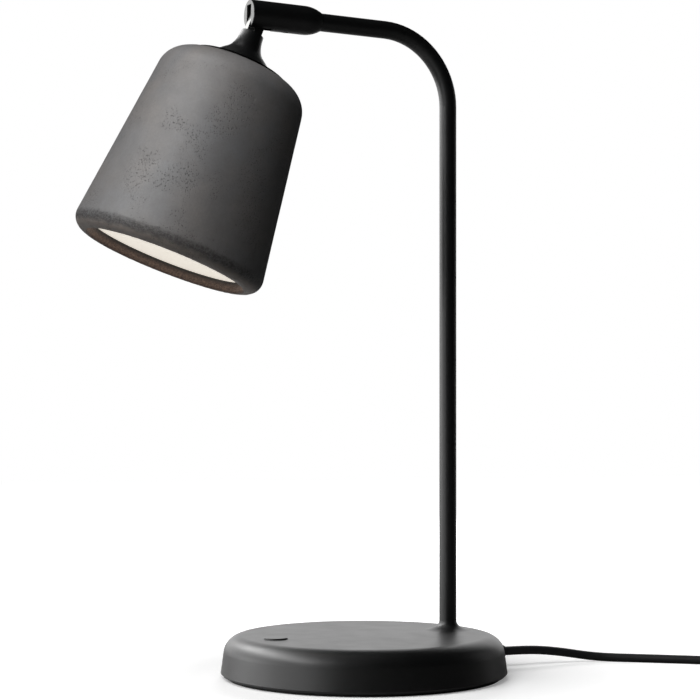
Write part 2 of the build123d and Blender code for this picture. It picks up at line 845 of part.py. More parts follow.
# Trumpet-shaped cap whose thin flange lies along the dome
cap_under = dome_radius + gasket_thickness
cap_over = cap_under + flange_thickness
trumpet_end = dome_point(cap_over, trumpet_radius)
with BuildPart() as neck_cap:
    with BuildSketch(head_profile):
        with BuildLine():
            Polyline(
                (neck_radius - 0.4, neck_top),
                (shank_radius, neck_top),
                dome_point(cap_under, shank_radius),
            )
            dome_arc(cap_under, shank_radius, flange_radius)
            Line(dome_point(cap_under, flange_radius), dome_point(cap_over, flange_radius))
            dome_arc(cap_over, flange_radius, trumpet_radius)
            Spline(
                trumpet_end,
                (16.6, 30.7),
                (11.0, 25.6),
                (8.5, 19.5),
                (neck_radius, neck_top + 0.4),
                tangents=[(-1, -trumpet_radius / (dome_centre - trumpet_end[1])), (-0.05, -1)],
            )
            Line((neck_radius, neck_top + 0.4), (neck_radius - 0.4, neck_top))
        make_face()
    revolve(axis=head_axis)
neck_cap.part.label = "neck_cap"
export_step(neck_cap.part, "parts/neck_cap.step")

with BuildPart() as neck_gasket:
    with BuildSketch(head_profile):
        with BuildLine():
            Line(dome_point(dome_radius, shank_radius), dome_point(cap_under, shank_radius))
            dome_arc(cap_under, shank_radius, gasket_radius)
            Line(dome_point(cap_under, gasket_radius), dome_point(dome_radius, gasket_radius))
            dome_arc(dome_radius, gasket_radius, shank_radius)
        make_face()
    revolve(axis=head_axis)
neck_gasket.part.label = "neck_gasket"
export_step(neck_gasket.part, "parts/neck_gasket.step")

# Cast concrete bell: domed top, rounded shoulder, straight flared side, thick rim
shoulder = dome_point(dome_radius, shoulder_radius)
with BuildPart() as shade_shell:
    with BuildSketch(head_profile) as shade_outline:
        with BuildLine():
            dome_arc(dome_radius, shank_radius, shoulder_radius)
            Polyline(
                shoulder,
                (rim_radius, rim_s),
                (mouth_radius + mouth_chamfer, rim_s),
                (mouth_radius, rim_s - mouth_chamfer),
                (mouth_radius, seat_s),
                (seat_radius, seat_s),
                (inner_shoulder_radius, inner_shoulder_s),
                (30, inner_top),
                (shank_radius, inner_top),
                dome_point(dome_radius, shank_radius),
            )
        make_face()
        corners = shade_outline.vertices()
        fillet(corners.sort_by_distance(shoulder)[0], shoulder_fillet)
        corners = shade_outline.vertices()
        fillet(corners.sort_by_distance((rim_radius, rim_s))[0], rim_fillet)
        corners = shade_outline.vertices()
        fillet(corners.sort_by_distance((inner_shoulder_radius, inner_shoulder_s))[0], inner_fillet)
    revolve(axis=head_axis)
shade_shell.part.label = "shade_shell"
export_step(shade_shell.part, "parts/shade_shell.step")

with BuildPart() as inner_washer:
    with BuildSketch(head_section.offset(inner_top)):
        Circle(18)
        Circle(shank_radius, mode=Mode.SUBTRACT)
    extrude(amount=2)
inner_washer.part.label = "inner_washer"
export_step(inner_washer.part, "parts/inner_washer.step")

with BuildPart() as lock_nut:
    with BuildSketch(head_section.offset(inner_top + 2)):
        RegularPolygon(radius=nut_radius, side_count=6)
        Circle(shank_radius, mode=Mode.SUBTRACT)
    extrude(amount=5)
lock_nut.part.label = "lock_nut"
export_step(lock_nut.part, "parts/lock_nut.step")

with BuildPart() as sink_nut:
    with BuildSketch(head_section.offset(58)):
        RegularPolygon(radius=nut_radius, side_count=6)
        Circle(shank_radius, mode=Mode.SUBTRACT)
    extrude(amount=4)
sink_nut.part.label = "sink_nut"
export_step(sink_nut.part, "parts/sink_nut.step")

# Aluminium heat sink screwed on the shank: a disc with a hub and radial fins
sink_fins = 12
with BuildPart() as heat_sink:
    with BuildSketch(head_section.offset(board_s - sink_plate)):
        Circle(sink_radius)
        Circle(shank_radius, mode=Mode.SUBTRACT)
    extrude(amount=sink_plate)
    with BuildSketch(head_section.offset(sink_hub_s)):
        Circle(8.5)
        Circle(shank_radius, mode=Mode.SUBTRACT)
    extrude(amount=board_s - sink_plate - sink_hub_s)
    with BuildSketch(head_section.offset(sink_fin_s)):
        with PolarLocations(20, sink_fins):
            Rectangle(26, 1.6)
    extrude(amount=board_s - sink_plate - sink_fin_s)
heat_sink.part.label = "heat_sink"
export_step(heat_sink.part, "parts/heat_sink.step")

with BuildPart() as led_board:
    with BuildSketch(head_section.offset(board_s)):
        Circle(board_radius)
        Circle(2.0, mode=Mode.SUBTRACT)
        with PolarLocations(sink_screw_circle, 3):
            Circle(1.6, mode=Mode.SUBTRACT)
    extrude(amount=board_thickness)
led_board.part.label = "led_board"
export_step(led_board.part, "parts/led_board.step")

with BuildPart() as led_chips:
    with BuildSketch(head_section.offset(board_s + board_thickness)):
        with PolarLocations(8, 6):
            Rectangle(3, 3)
        with PolarLocations(16, 12, start_angle=15):
            Rectangle(3, 3)
    extrude(amount=0.7)
led_chips.part.label = "led_chips"
export_step(led_chips.part, "parts/led_chips.step")

# White cone between the board and the diffuser
reflector_top = board_s + board_thickness
with BuildPart() as reflector:
    with BuildSketch(head_profile):
        with BuildLine():
            Polyline(
                (21, reflector_top),
                (31, reflector_top),
                (49.6, seat_s - 1.6),
                (51, seat_s - 1.6),
                (51, seat_s),
                (48.6, seat_s),
                (30.2, reflector_top + 1.2),
                (21, reflector_top + 1.2),
                close=True,
            )
        make_face()
    revolve(axis=head_axis)
    with BuildSketch(head_section.offset(reflector_top)):
        with PolarLocations(sink_screw_circle, 3):
            Circle(1.6)
    extrude(amount=1.2, mode=Mode.SUBTRACT)
reflector.part.label = "reflector"
export_step(reflector.part, "parts/reflector.step")

with BuildPart() as sink_screws:
    with BuildSketch(head_section.offset(reflector_top + 1.2)):
        with PolarLocations(sink_screw_circle, 3):
            Circle(2.8)
    extrude(amount=1.8)
    with BuildSketch(head_section.offset(board_s)):
        with PolarLocations(sink_screw_circle, 3):
            Circle(1.5)
    extrude(amount=reflector_top + 1.2 - board_s)
sink_screws.part.label = "sink_screws"
export_step(sink_screws.part, "parts/sink_screws.step")

with BuildPart() as diffuser:
    with BuildSketch(head_section.offset(seat_s)):
        Circle(diffuser_radius)
    extrude(amount=diffuser_s - seat_s)
diffuser.part.label = "diffuser"
export_step(diffuser.part, "parts/diffuser.step")
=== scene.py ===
# Table lamp: its finishes, the cast concrete shade, the mains lead and its strap.
# Metres, in the CAD part's own frame: +Z up, the pole at +X, the shade towards -X.
import json
import random
from math import acos, atan2, ceil, cos, pi, radians, sin, sqrt

import bmesh
import bpy
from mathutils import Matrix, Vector, noise


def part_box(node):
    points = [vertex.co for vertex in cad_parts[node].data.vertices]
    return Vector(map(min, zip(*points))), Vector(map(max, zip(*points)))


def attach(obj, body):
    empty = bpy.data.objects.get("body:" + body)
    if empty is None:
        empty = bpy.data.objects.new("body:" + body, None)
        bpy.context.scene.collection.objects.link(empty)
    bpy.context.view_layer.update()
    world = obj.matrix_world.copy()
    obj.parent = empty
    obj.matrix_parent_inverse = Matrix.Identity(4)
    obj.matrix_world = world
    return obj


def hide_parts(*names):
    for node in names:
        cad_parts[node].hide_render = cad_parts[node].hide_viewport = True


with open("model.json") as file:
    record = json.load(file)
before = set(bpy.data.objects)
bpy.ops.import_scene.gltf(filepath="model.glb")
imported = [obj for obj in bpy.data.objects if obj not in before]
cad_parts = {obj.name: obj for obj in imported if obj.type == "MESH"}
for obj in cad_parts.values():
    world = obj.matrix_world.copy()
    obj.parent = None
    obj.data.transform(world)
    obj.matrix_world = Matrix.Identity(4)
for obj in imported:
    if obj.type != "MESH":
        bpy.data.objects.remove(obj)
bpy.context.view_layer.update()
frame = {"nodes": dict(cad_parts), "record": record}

mm = 0.001

# ------------------------------------------------------------------ camera
camera_bearing = radians(24.74)         # turned from +Y towards +X
camera_distance = 1.1117
camera_aside = -0.0095
camera_height = 0.1596
camera_lens = 84.16
camera_shift = 0.130
view_ahead = Vector((sin(camera_bearing), cos(camera_bearing), 0))
view_right = Vector((cos(camera_bearing), -sin(camera_bearing), 0))
up = Vector((0, 0, 1))


def make_camera():
    """A level camera at the height of the lower third, shifted up to take in the arm."""
    data = bpy.data.cameras.new("camera")
    data.lens = camera_lens
    data.shift_y = camera_shift
    data.clip_start = 0.05
    data.clip_end = 60
    camera = bpy.data.objects.new("camera", data)
    place = view_right * camera_aside - view_ahead * camera_distance
    camera.location = place + up * camera_height
    camera.rotation_euler = (pi / 2, 0, -camera_bearing)
    bpy.context.scene.collection.objects.link(camera)
    bpy.context.scene.camera = camera


# --------------------------------------------------------------- materials
class Finish:
    """A material, with short ways to add nodes and to join them."""

    def __init__(self, name, sockets=()):
        self.material = bpy.data.materials.new(name)
        self.material.use_nodes = True
        self.tree = self.material.node_tree
        self.shader = self.tree.nodes["Principled BSDF"]
        self.place = self.add("ShaderNodeTexCoord").outputs["Object"]
        for socket, value in dict(sockets).items():
            self.set(socket, value)

    def set(self, socket, value):
        self.shader.inputs[socket].default_value = value

    def use(self, socket, output):
        self.tree.links.new(output, self.shader.inputs[socket])

    def add(self, kind, inputs=(), **settings):
        """A node; an input's value is a number or another node's output."""
        node = self.tree.nodes.new(kind)
        for key, value in settings.items():
            setattr(node, key, value)
        for key, value in dict(inputs).items():
            if isinstance(value, bpy.types.NodeSocket):
                self.tree.links.new(value, node.inputs[key])
            else:
                node.inputs[key].default_value = value
        return node

    def noise(self, size, detail=2.0, roughness=0.5, distortion=0.0):
        """Cloudy noise from 0 to 1, with patches of about that size in metres."""
        inputs = {
            "Vector": self.place,
            "Scale": 1 / size,
            "Detail": detail,
            "Roughness": roughness,
            "Distortion": distortion,
        }
        return self.add("ShaderNodeTexNoise", inputs).outputs["Fac"]

    def cells(self, size):
        """Distance to the middle of the nearest of many cells, in cell sizes."""
        inputs = {"Vector": self.place, "Scale": 1 / size}
        return self.add("ShaderNodeTexVoronoi", inputs).outputs["Distance"]

    def ramp(self, value, low, high, to_low=0.0, to_high=1.0):
        """Value carried from one span to another, and held at its ends."""
        inputs = {
            "Value": value,
            "From Min": low,
            "From Max": high,
            "To Min": to_low,
            "To Max": to_high,
        }
        return self.add("ShaderNodeMapRange", inputs).outputs["Result"]

    def maths(self, operation, first, second=0.0):
        inputs = {0: first, 1: second}
        return self.add("ShaderNodeMath", inputs, operation=operation).outputs[0]

    def mix(self, share, first, second):
        """Colour from first to second; a colour is a tuple or an output."""
        node = self.add("ShaderNodeMix", data_type="RGBA")
        ends = [c if isinstance(c, bpy.types.NodeSocket) else (*c, 1) for c in (first, second)]
        for socket, value in zip((0, 6, 7), (share, *ends)):
            if isinstance(value, bpy.types.NodeSocket):
                self.tree.links.new(value, node.inputs[socket])
            else:
                node.inputs[socket].default_value = value
        return node.outputs[2]

    def along(self, direction):
        """Distance along a direction from the frame's origin."""
        inputs = {0: self.place, 1: direction}
        return self.add("ShaderNodeVectorMath", inputs, operation="DOT_PRODUCT").outputs["Value"]

    def bump(self, height, depth, strength=1.0, normal=None):
        inputs = {"Height": height, "Distance": depth, "Strength": strength}
        if normal:
            inputs["Normal"] = normal
        return self.add("ShaderNodeBump", inputs).outputs["Normal"]


def coat(finish):
    """Fine pebbled skin of a satin powder coat: its bump and its uneven gloss."""
    pebbles = finish.noise(1.1 * mm, 2)
    waves = finish.noise(4 * mm, 1)
    finish.use("Normal", finish.bump(pebbles, 0.02 * mm, 0.5, finish.bump(waves, 0.02 * mm, 0.5)))
    return finish.ramp(finish.noise(18 * mm, 4), 0.3, 0.7, 0.40, 0.44)


def powder_coat():
    finish = Finish("powder_coat")
    finish.use("Roughness", coat(finish))
    cloud = finish.ramp(finish.noise(30 * mm, 3), 0.3, 0.7)
    finish.use("Base Color", finish.mix(cloud, (0.0026, 0.0027, 0.0028), (0.0036, 0.0037, 0.0038)))
    return finish.material


def barrel_finish():
    """Powder coat, with the end face turned back to bare steel."""
    finish = Finish("barrel_finish")
    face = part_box("joint_barrel")[0].x
    bare_to = face + 0.12 * mm
    coat_from = face + 0.32 * mm
    bare = finish.ramp(finish.along((1, 0, 0)), bare_to, coat_from, 1, 0)
    rings = finish.ramp(finish.noise(0.5 * mm, 1), 0.3, 0.7, 0.28, 0.42)
    finish.use("Base Color", finish.mix(bare, (0.0032, 0.0033, 0.0034), (0.14, 0.14, 0.137)))
    finish.use("Metallic", bare)
    gloss = finish.add("ShaderNodeMix", {0: bare, 2: coat(finish), 3: rings})
    finish.use("Roughness", gloss.outputs[0])
    return finish.material


def painted_lit_button():
    """Powder coat painted a little paler, as painted light on the button."""
    # painted light: a paler copy of the powder coat
    finish = Finish("painted_lit_button", {"Base Color": (0.016, 0.016, 0.016, 1)})
    finish.use("Roughness", coat(finish))
    return finish.material


def neck_finish():
    """Powder coat, dull black round the thin edge of the flange."""
    finish = Finish("neck_finish")
    vectors = "ShaderNodeVectorMath"
    inputs = {0: finish.place, 1: pin_point}
    from_pin = finish.add(vectors, inputs, operation="SUBTRACT").outputs[0]
    inputs = {0: from_pin, 1: shade_dir}
    across = finish.add(vectors, inputs, operation="CROSS_PRODUCT").outputs[0]
    radius = finish.add(vectors, {0: across}, operation="LENGTH").outputs["Value"]
    edge_from = cap_radius - 0.6 * mm
    edge_to = cap_radius - 0.2 * mm
    edge = finish.ramp(radius, edge_from, edge_to)
    finish.use("Base Color", finish.mix(edge, (0.0030, 0.0031, 0.0032), (0.0015, 0.0015, 0.0015)))
    finish.use("Specular IOR Level", finish.ramp(edge, 0, 1, 0.5, 0.04))
    gloss = finish.add("ShaderNodeMix", {0: edge, 2: coat(finish), 3: 0.9})
    finish.use("Roughness", gloss.outputs[0])
    return finish.material


def painted_shade_tongue():
    """Powder coat over the tongue as painted shade in the slot, with bare steel on its round nose.
    """
    finish = Finish("painted_shade_tongue")
    nose = pin_point.x - bare_nose
    blend = 0.3 * mm
    bare = finish.ramp(finish.along((1, 0, 0)), nose - blend, nose + blend, 1, 0)
    rubs = finish.ramp(finish.noise(0.6 * mm, 2), 0.3, 0.7, 0.26, 0.40)
    # painted shade: all but the nose is coated black, for the shade inside the slot
    finish.use("Base Color", finish.mix(bare, (0.0030, 0.0031, 0.0032), (0.42, 0.42, 0.41)))
    finish.use("Metallic", bare)
    gloss = finish.add("ShaderNodeMix", {0: bare, 2: coat(finish), 3: rubs})
    finish.use("Roughness", gloss.outputs[0])
    return finish.material


def metal(name, colour, roughness, grain=(0.05 * mm, 4 * mm)):
    """Metal with fine scratches: grain is their width and their length."""
    finish = Finish(name, {"Metallic": 1.0, "Base Color": (*colour, 1)})
    inputs = {"Vector": finish.place, "Scale": (1 / grain[0], 1 / grain[1], 1 / grain[0])}
    stretched = finish.add("ShaderNodeMapping", inputs).outputs[0]
    scratches = finish.add("ShaderNodeTexNoise", {"Vector": stretched, "Scale": 1}).outputs["Fac"]
    finish.use("Roughness", finish.ramp(scratches, 0.3, 0.7, roughness - 0.08, roughness + 0.08))
    finish.use("Normal", finish.bump(scratches, 0.004 * mm, 0.4))
    return finish.material


def moulded(name, colour, roughness, grain, depth):
    """Plastic or rubber with a moulded grain of that size and depth."""
    finish = Finish(name)
    skin = finish.noise(grain, 2)
    tone = finish.ramp(finish.noise(14 * mm, 3), 0.3, 0.7)
    lighter = tuple(min(1, 1.12 * c) for c in colour)
    finish.use("Base Color", finish.mix(tone, colour, lighter))
    gloss = finish.noise(6 * mm, 3)
    finish.use("Roughness", finish.ramp(gloss, 0.3, 0.7, roughness - 0.05, roughness + 0.05))
    finish.use("Normal", finish.bump(skin, depth, 0.6))
    return finish.material


def opal():
    """Matt opal sheet with a painted glow: no lamp behind it is lit, and it glows a little to look
    as bright as paper in the studio's light.
    """
    # painted light: the opal glows although the lamp is unlit
    painted_glow = {"Emission Color": (1.0, 0.93, 0.82, 1), "Emission Strength": 0.72}
    finish = Finish("opal_diffuser", {"Roughness": 0.55, **painted_glow})
    tone = finish.ramp(finish.noise(25 * mm, 3), 0.3, 0.7)
    finish.use("Base Color", finish.mix(tone, (0.78, 0.75, 0.69), (0.82, 0.79, 0.73)))
    finish.use("Normal", finish.bump(finish.noise(0.5 * mm, 2), 0.01 * mm, 0.5))
    return finish.material


# The head: the shade is measured from the hinge pin, along its axis (s) and across it
pin_point = Vector((-76.2, 0, 440.5)) * mm
roll = radians(4.66)                    # the barrel's turn about the arm
tilt = radians(20.3)                    # the shade's lean away from the pole
shade_dir = Vector((-sin(tilt), cos(tilt) * sin(roll), -cos(tilt) * cos(roll)))
side_dir = Vector((cos(tilt), sin(tilt) * sin(roll), -sin(tilt) * cos(roll)))
cross_dir = shade_dir.cross(side_dir)
dome_radius = 135 * mm
dome_centre = 170 * mm
shoulder_radius = 48.65 * mm
shoulder_fillet = 17.4 * mm
rim_s = 175.4 * mm
rim_radius = 65.8 * mm
rim_fillet = 9.5 * mm
mouth_radius = 54 * mm
mouth_chamfer = 0.8 * mm
seat_s = 165.5 * mm
seat_radius = 51.5 * mm
inner_radius = 41.4 * mm
inner_s = 52 * mm
inner_top = 45 * mm
inner_top_radius = 30 * mm
shank_radius = 4 * mm
cap_radius = 32.5 * mm
bare_nose = 4.7 * mm                    # from the pin to where the tongue's bare steel nose meets its black coat, which is painted shade


def pores(finish, size, share, radius):
    """Small open pores, in clusters: 1 in a pore, 0 elsewhere."""
    cluster = finish.ramp(finish.noise(26 * mm, 3), 1 - share, 1.12 - share)
    reach = finish.maths("MULTIPLY", cluster, radius)
    inside = finish.maths("SUBTRACT", reach, finish.cells(size))
    return finish.ramp(inside, 0, 0.12)


def rim_band(finish, from_rim, low, high):
    """1 between two distances above the rim, with an uneven edge, and 0 elsewhere."""
    uneven = finish.ramp(finish.noise(6 * mm, 5, 0.7), 0.25, 0.75, -1.6 * mm, 1.6 * mm)
    height = finish.maths("ADD", from_rim, uneven)
    into = finish.ramp(height, low - 2 * mm, low + 1 * mm)
    out_of = finish.ramp(height, high - 1 * mm, high + 1 * mm, 1, 0)
    return finish.maths("MULTIPLY", into, out_of)


def concrete():
    """Dark cast concrete: clouded, finely grained, pored, and rougher at the rim, with painted
    shade in the mouth beside the diffuser.
    """
    finish = Finish("concrete", {"Specular IOR Level": 0.6})
    warm = finish.ramp(finish.noise(36 * mm, 4, 0.55, 0.4), 0.38, 0.62)
    colour = finish.mix(warm, (0.152, 0.153, 0.157), (0.174, 0.163, 0.156))
    cloud = finish.ramp(finish.noise(13 * mm, 6, 0.62, 0.3), 0.34, 0.68)
    colour = finish.mix(finish.maths("MULTIPLY", cloud, 0.62), colour, (0.118, 0.113, 0.112))
    grain = finish.ramp(finish.noise(1.5 * mm, 5, 0.75), 0.36, 0.64)
    colour = finish.mix(finish.maths("MULTIPLY", grain, 0.40), colour, (0.105, 0.101, 0.098))
    from_rim = finish.maths("SUBTRACT", finish.along(shade_dir), pin_point.dot(shade_dir) + rim_s)
    lip = rim_band(finish, from_rim, -3.2 * mm, 20 * mm)
    colour = finish.mix(finish.maths("MULTIPLY", lip, 0.7), colour, (0.290, 0.245, 0.215))
    band = rim_band(finish, from_rim, -8 * mm, -3.5 * mm)
    speckle = finish.ramp(finish.noise(1.5 * mm, 5, 0.7), 0.38, 0.58)
    dots = finish.maths("MULTIPLY", band, finish.ramp(speckle, 0, 1, 0.15, 0.75))
    colour = finish.mix(dots, colour, (0.034, 0.030, 0.028))
    open_pores = finish.maths(
        "MAXIMUM", pores(finish, 2.3 * mm, 0.55, 0.25), pores(finish, 1.4 * mm, 0.58, 0.28)
    )
    colour = finish.mix(finish.maths("MULTIPLY", open_pores, 0.6), colour, (0.030, 0.027, 0.025))
    raw = finish.add("ShaderNodeAttribute", attribute_name="raw").outputs["Fac"]
    crumbs = finish.ramp(finish.noise(1.2 * mm, 5, 0.7), 0.35, 0.66)
    inside = finish.mix(crumbs, (0.230, 0.150, 0.115), (0.070, 0.046, 0.038))
    # painted shade: the mouth wall darkens towards the diffuser, where the recess lies in shade
    painted_recess_shade = finish.ramp(from_rim, -6.4 * mm, -3.4 * mm, 0.94, 0)
    inside = finish.mix(painted_recess_shade, inside, (0.012, 0.009, 0.008))
    finish.use("Base Color", finish.mix(raw, colour, inside))
    finish.use("Roughness", finish.ramp(cloud, 0, 1, 0.50, 0.58))
    skin = finish.bump(finish.noise(0.8 * mm, 5, 0.7), 0.07 * mm, 0.5)
    rough = finish.maths("MULTIPLY", speckle, finish.maths("MAXIMUM", band, raw))
    skin = finish.bump(finish.maths("SUBTRACT", 0, rough), 0.25 * mm, 0.6, skin)
    pits = finish.maths("SUBTRACT", 0, open_pores)
    finish.use("Normal", finish.bump(pits, 0.3 * mm, 0.7, skin))
    return finish.material


def make_finishes():
    """One finish for each material slot of the record."""
    return {
        "powder_coat": powder_coat(),
        "concrete": concrete(),
        "opal_diffuser": opal(),
        "bare_steel": metal("bare_steel", (0.62, 0.62, 0.61), 0.26),
        "zinc_steel": metal("zinc_steel", (0.55, 0.56, 0.57), 0.38),
        "cast_ballast": metal("cast_ballast", (0.16, 0.16, 0.16), 0.6, (0.7 * mm, 0.7 * mm)),
        "sink_aluminium": metal("sink_aluminium", (0.72, 0.72, 0.73), 0.35),
        "foot_rubber": moulded("foot_rubber", (0.010, 0.010, 0.010), 0.85, 1.2 * mm, 0.03 * mm),
        "cord_rubber": moulded("cord_rubber", (0.009, 0.009, 0.010), 0.55, 0.5 * mm, 0.01 * mm),
        "plug_plastic": moulded("plug_plastic", (0.014, 0.014, 0.015), 0.5, 0.45 * mm, 0.03 * mm),
        "pin_brass": metal("pin_brass", (0.72, 0.66, 0.50), 0.25),
        "tie_fabric": moulded("tie_fabric", (0.016, 0.016, 0.017), 0.9, 0.6 * mm, 0.25 * mm),
        "wire_sleeve": moulded("wire_sleeve", (0.55, 0.55, 0.53), 0.4, 1 * mm, 0.01 * mm),
        "circuit_board": moulded("circuit_board", (0.70, 0.70, 0.68), 0.35, 1 * mm, 0.01 * mm),
        "led_phosphor": moulded("led_phosphor", (0.85, 0.68, 0.22), 0.3, 1 * mm, 0.01 * mm),
        "white_plastic": moulded("white_plastic", (0.72, 0.72, 0.70), 0.45, 0.6 * mm, 0.02 * mm),
        "dark_plastic": moulded("dark_plastic", (0.02, 0.02, 0.02), 0.5, 0.6 * mm, 0.02 * mm),
    }


# ------------------------------------------------------------------ meshes
def new_piece(name, body, finish, mesh):
    """A mesh as a smooth-shaded piece that rides on a body."""
    piece = bpy.data.objects.new(name, mesh)
    bpy.context.scene.collection.objects.link(piece)
    mesh.materials.append(finish)
    mesh.polygons.foreach_set("use_smooth", [True] * len(mesh.polygons))
    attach(piece, body)
    return piece


def grid_mesh(name, rows):
    """A closed mesh of quads: each row of points goes once round, and so do the rows."""
    around = len(rows[0])
    points = [point for row in rows for point in row]
    faces = []
    for row in range(len(rows)):
        here = row * around
        there = (row + 1) % len(rows) * around
        for step in range(around):
            after = (step + 1) % around
            faces.append((here + step, here + after, there + after, there + step))
    mesh = bpy.data.meshes.new(name)
    mesh.from_pydata(points, [], faces)
    shape = bmesh.new()
    shape.from_mesh(mesh)
    bmesh.ops.recalc_face_normals(shape, faces=shape.faces)
    shape.to_mesh(mesh)
    shape.free()
    return mesh


def line_points(start, end, step):
    """Points from start up to but not including end."""
    count = max(1, ceil(sqrt((end[0] - start[0]) ** 2 + (end[1] - start[1]) ** 2) / step))
    return [
        (start[0] + (end[0] - start[0]) * i / count, start[1] + (end[1] - start[1]) * i / count)
        for i in range(count)
    ]


def arc_points(centre, radius, start, end, step):
    """Points of an arc between two angles, up to but not including the end."""
    count = max(2, ceil(abs(end - start) * radius / step))
    angles = [start + (end - start) * i / count for i in range(count)]
    return [(centre[0] + radius * cos(a), centre[1] + radius * sin(a)) for a in angles]


# ------------------------------------------------------------------- shade
around_count = 440
skin_step = 0.95 * mm
mouth_step = 0.4 * mm
hidden_step = 6 * mm
cap_lap = 2 * mm                        # how far the fine skin runs in under the neck cap

pit_seed = 11
pit_clusters = 16
pits_a_cluster = (4, 12)                # fewest and most
pit_heights = (58, 150)                 # of the clusters, in mm from the pin along the axis
cluster_turn = 0.16                     # spread round the axis, in radians
cluster_rise = 8 * mm
pit_reach = (0.6, 1.3)                  # radius of a pit, in mm
pit_depth = (0.12, 0.4)                 # in mm


def shade_outline():
    """The shade's closed outline by stretches: distances from the axis and from the pin."""
    shoulder = (shoulder_radius, dome_centre - sqrt(dome_radius**2 - shoulder_radius**2))
    run = (rim_radius - shoulder[0], rim_s - shoulder[1])
    length = sqrt(run[0] ** 2 + run[1] ** 2)
    down = (run[0] / length, run[1] / length)
    inward = (-down[1], down[0])
    # fillet's centre: its radius inside the side, and inside the dome's sphere
    near = (shoulder[0] + inward[0] * shoulder_fillet, shoulder[1] + inward[1] * shoulder_fillet)
    offset = (near[0], near[1] - dome_centre)
    half = offset[0] * down[0] + offset[1] * down[1]
    rest = offset[0] ** 2 + offset[1] ** 2 - (dome_radius - shoulder_fillet) ** 2
    travel = -half - sqrt(half**2 - rest)
    centre = (near[0] + down[0] * travel, near[1] + down[1] * travel)
    dome_end = atan2(centre[1] - dome_centre, centre[0])
    side_angle = atan2(-inward[1], -inward[0])
    side_start = (centre[0] - inward[0] * shoulder_fillet, centre[1] - inward[1] * shoulder_fillet)
    # fillet at the rim, between the side and the flat rim
    rim_centre_s = rim_s - rim_fillet
    side_at = rim_radius - (rim_s - rim_centre_s) * down[0] / down[1]
    rim_centre = (side_at - rim_fillet / down[1], rim_centre_s)
    side_end = (rim_centre[0] - inward[0] * rim_fillet, rim_centre[1] - inward[1] * rim_fillet)
    dome_start = -acos(shank_radius / dome_radius)
    cap_edge = -acos((cap_radius - cap_lap) / dome_radius)
    dome_middle = (0, dome_centre)
    chamfer_start = (mouth_radius + mouth_chamfer, rim_s)
    chamfer_end = (mouth_radius, rim_s - mouth_chamfer)
    bore_top = (shank_radius, dome_centre - sqrt(dome_radius**2 - shank_radius**2))
    return {
        "covered": arc_points(dome_middle, dome_radius, dome_start, cap_edge, hidden_step),
        "skin": [
            *arc_points(dome_middle, dome_radius, cap_edge, dome_end, skin_step),
            *arc_points(centre, shoulder_fillet, dome_end, side_angle, skin_step),
            *line_points(side_start, side_end, skin_step),
            *arc_points(rim_centre, rim_fillet, side_angle, pi / 2, 0.8 * skin_step),
            *line_points((rim_centre[0], rim_s), chamfer_start, skin_step),
        ],
        "mouth": [
            *line_points(chamfer_start, chamfer_end, mouth_step),
            *line_points(chamfer_end, (mouth_radius, seat_s), skin_step),
        ],
        "inside": [
            *line_points((mouth_radius, seat_s), (seat_radius, seat_s), hidden_step),
            *line_points((seat_radius, seat_s), (inner_radius, inner_s), 2 * hidden_step),
            *line_points((inner_radius, inner_s), (inner_top_radius, inner_top), hidden_step),
            *line_points((inner_top_radius, inner_top), (shank_radius, inner_top), hidden_step),
            *line_points((shank_radius, inner_top), bore_top, hidden_step),
        ],
    }


def smooth(value, low, high):
    """0 below low, 1 above high, and a smooth step between."""
    share = min(1, max(0, (value - low) / (high - low)))
    return share * share * (3 - 2 * share)


def cast_pits():
    """Places and sizes of the larger pits, gathered in a few clusters of the skin."""
    draw = random.Random(pit_seed)
    pits = []
    for cluster in range(pit_clusters):
        middle_angle = draw.uniform(0, 2 * pi)
        middle_s = draw.uniform(*pit_heights) * mm
        for pit in range(draw.randint(*pits_a_cluster)):
            angle = middle_angle + draw.gauss(0, cluster_turn)
            s = middle_s + draw.gauss(0, cluster_rise)
            reach = draw.uniform(*pit_reach) * mm
            depth = draw.uniform(*pit_depth) * mm
            pits.append((angle, s, reach, depth))
    return pits


def unevenness(place, size, height):
    """Smooth unevenness of the cast skin, with lumps of about that size and height."""
    return height * noise.noise(place / size)


def skin_depth(place, s, radius):
    """How far the cast skin stands out of (or into) the smooth shape at a point."""
    wave = unevenness(place, 34 * mm, 0.10 * mm)
    ripple = unevenness(place, 6 * mm, 0.03 * mm)
    crumbs = unevenness(place, 3.1 * mm, 0.09 * mm)
    crumbs += unevenness(place, 1.6 * mm, 0.07 * mm)
    beside_cap = smooth(radius, cap_radius, cap_radius + 3 * mm)
    near_rim = smooth(s, rim_s - 16 * mm, rim_s - 4 * mm)
    return beside_cap * (wave + ripple + near_rim * crumbs)


def press_pits(skin_rows, skin_outline):
    """Sinks the larger pits into the rows of the outer skin."""
    for angle, s, reach, depth in cast_pits():
        for row, (radius, at_s) in zip(skin_rows, skin_outline):
            if abs(at_s - s) > reach:
                continue
            span = reach / radius
            first = ceil((angle - span) * around_count / (2 * pi))
            last = int((angle + span) * around_count / (2 * pi))
            for step in range(first, last + 1):
                turn = 2 * pi * step / around_count
                away = sqrt(((turn - angle) * radius) ** 2 + (at_s - s) ** 2) / reach
                if away < 1:
                    spoke = side_dir * cos(turn) + cross_dir * sin(turn)
                    row[step % around_count] -= spoke * depth * (1 - away**2)


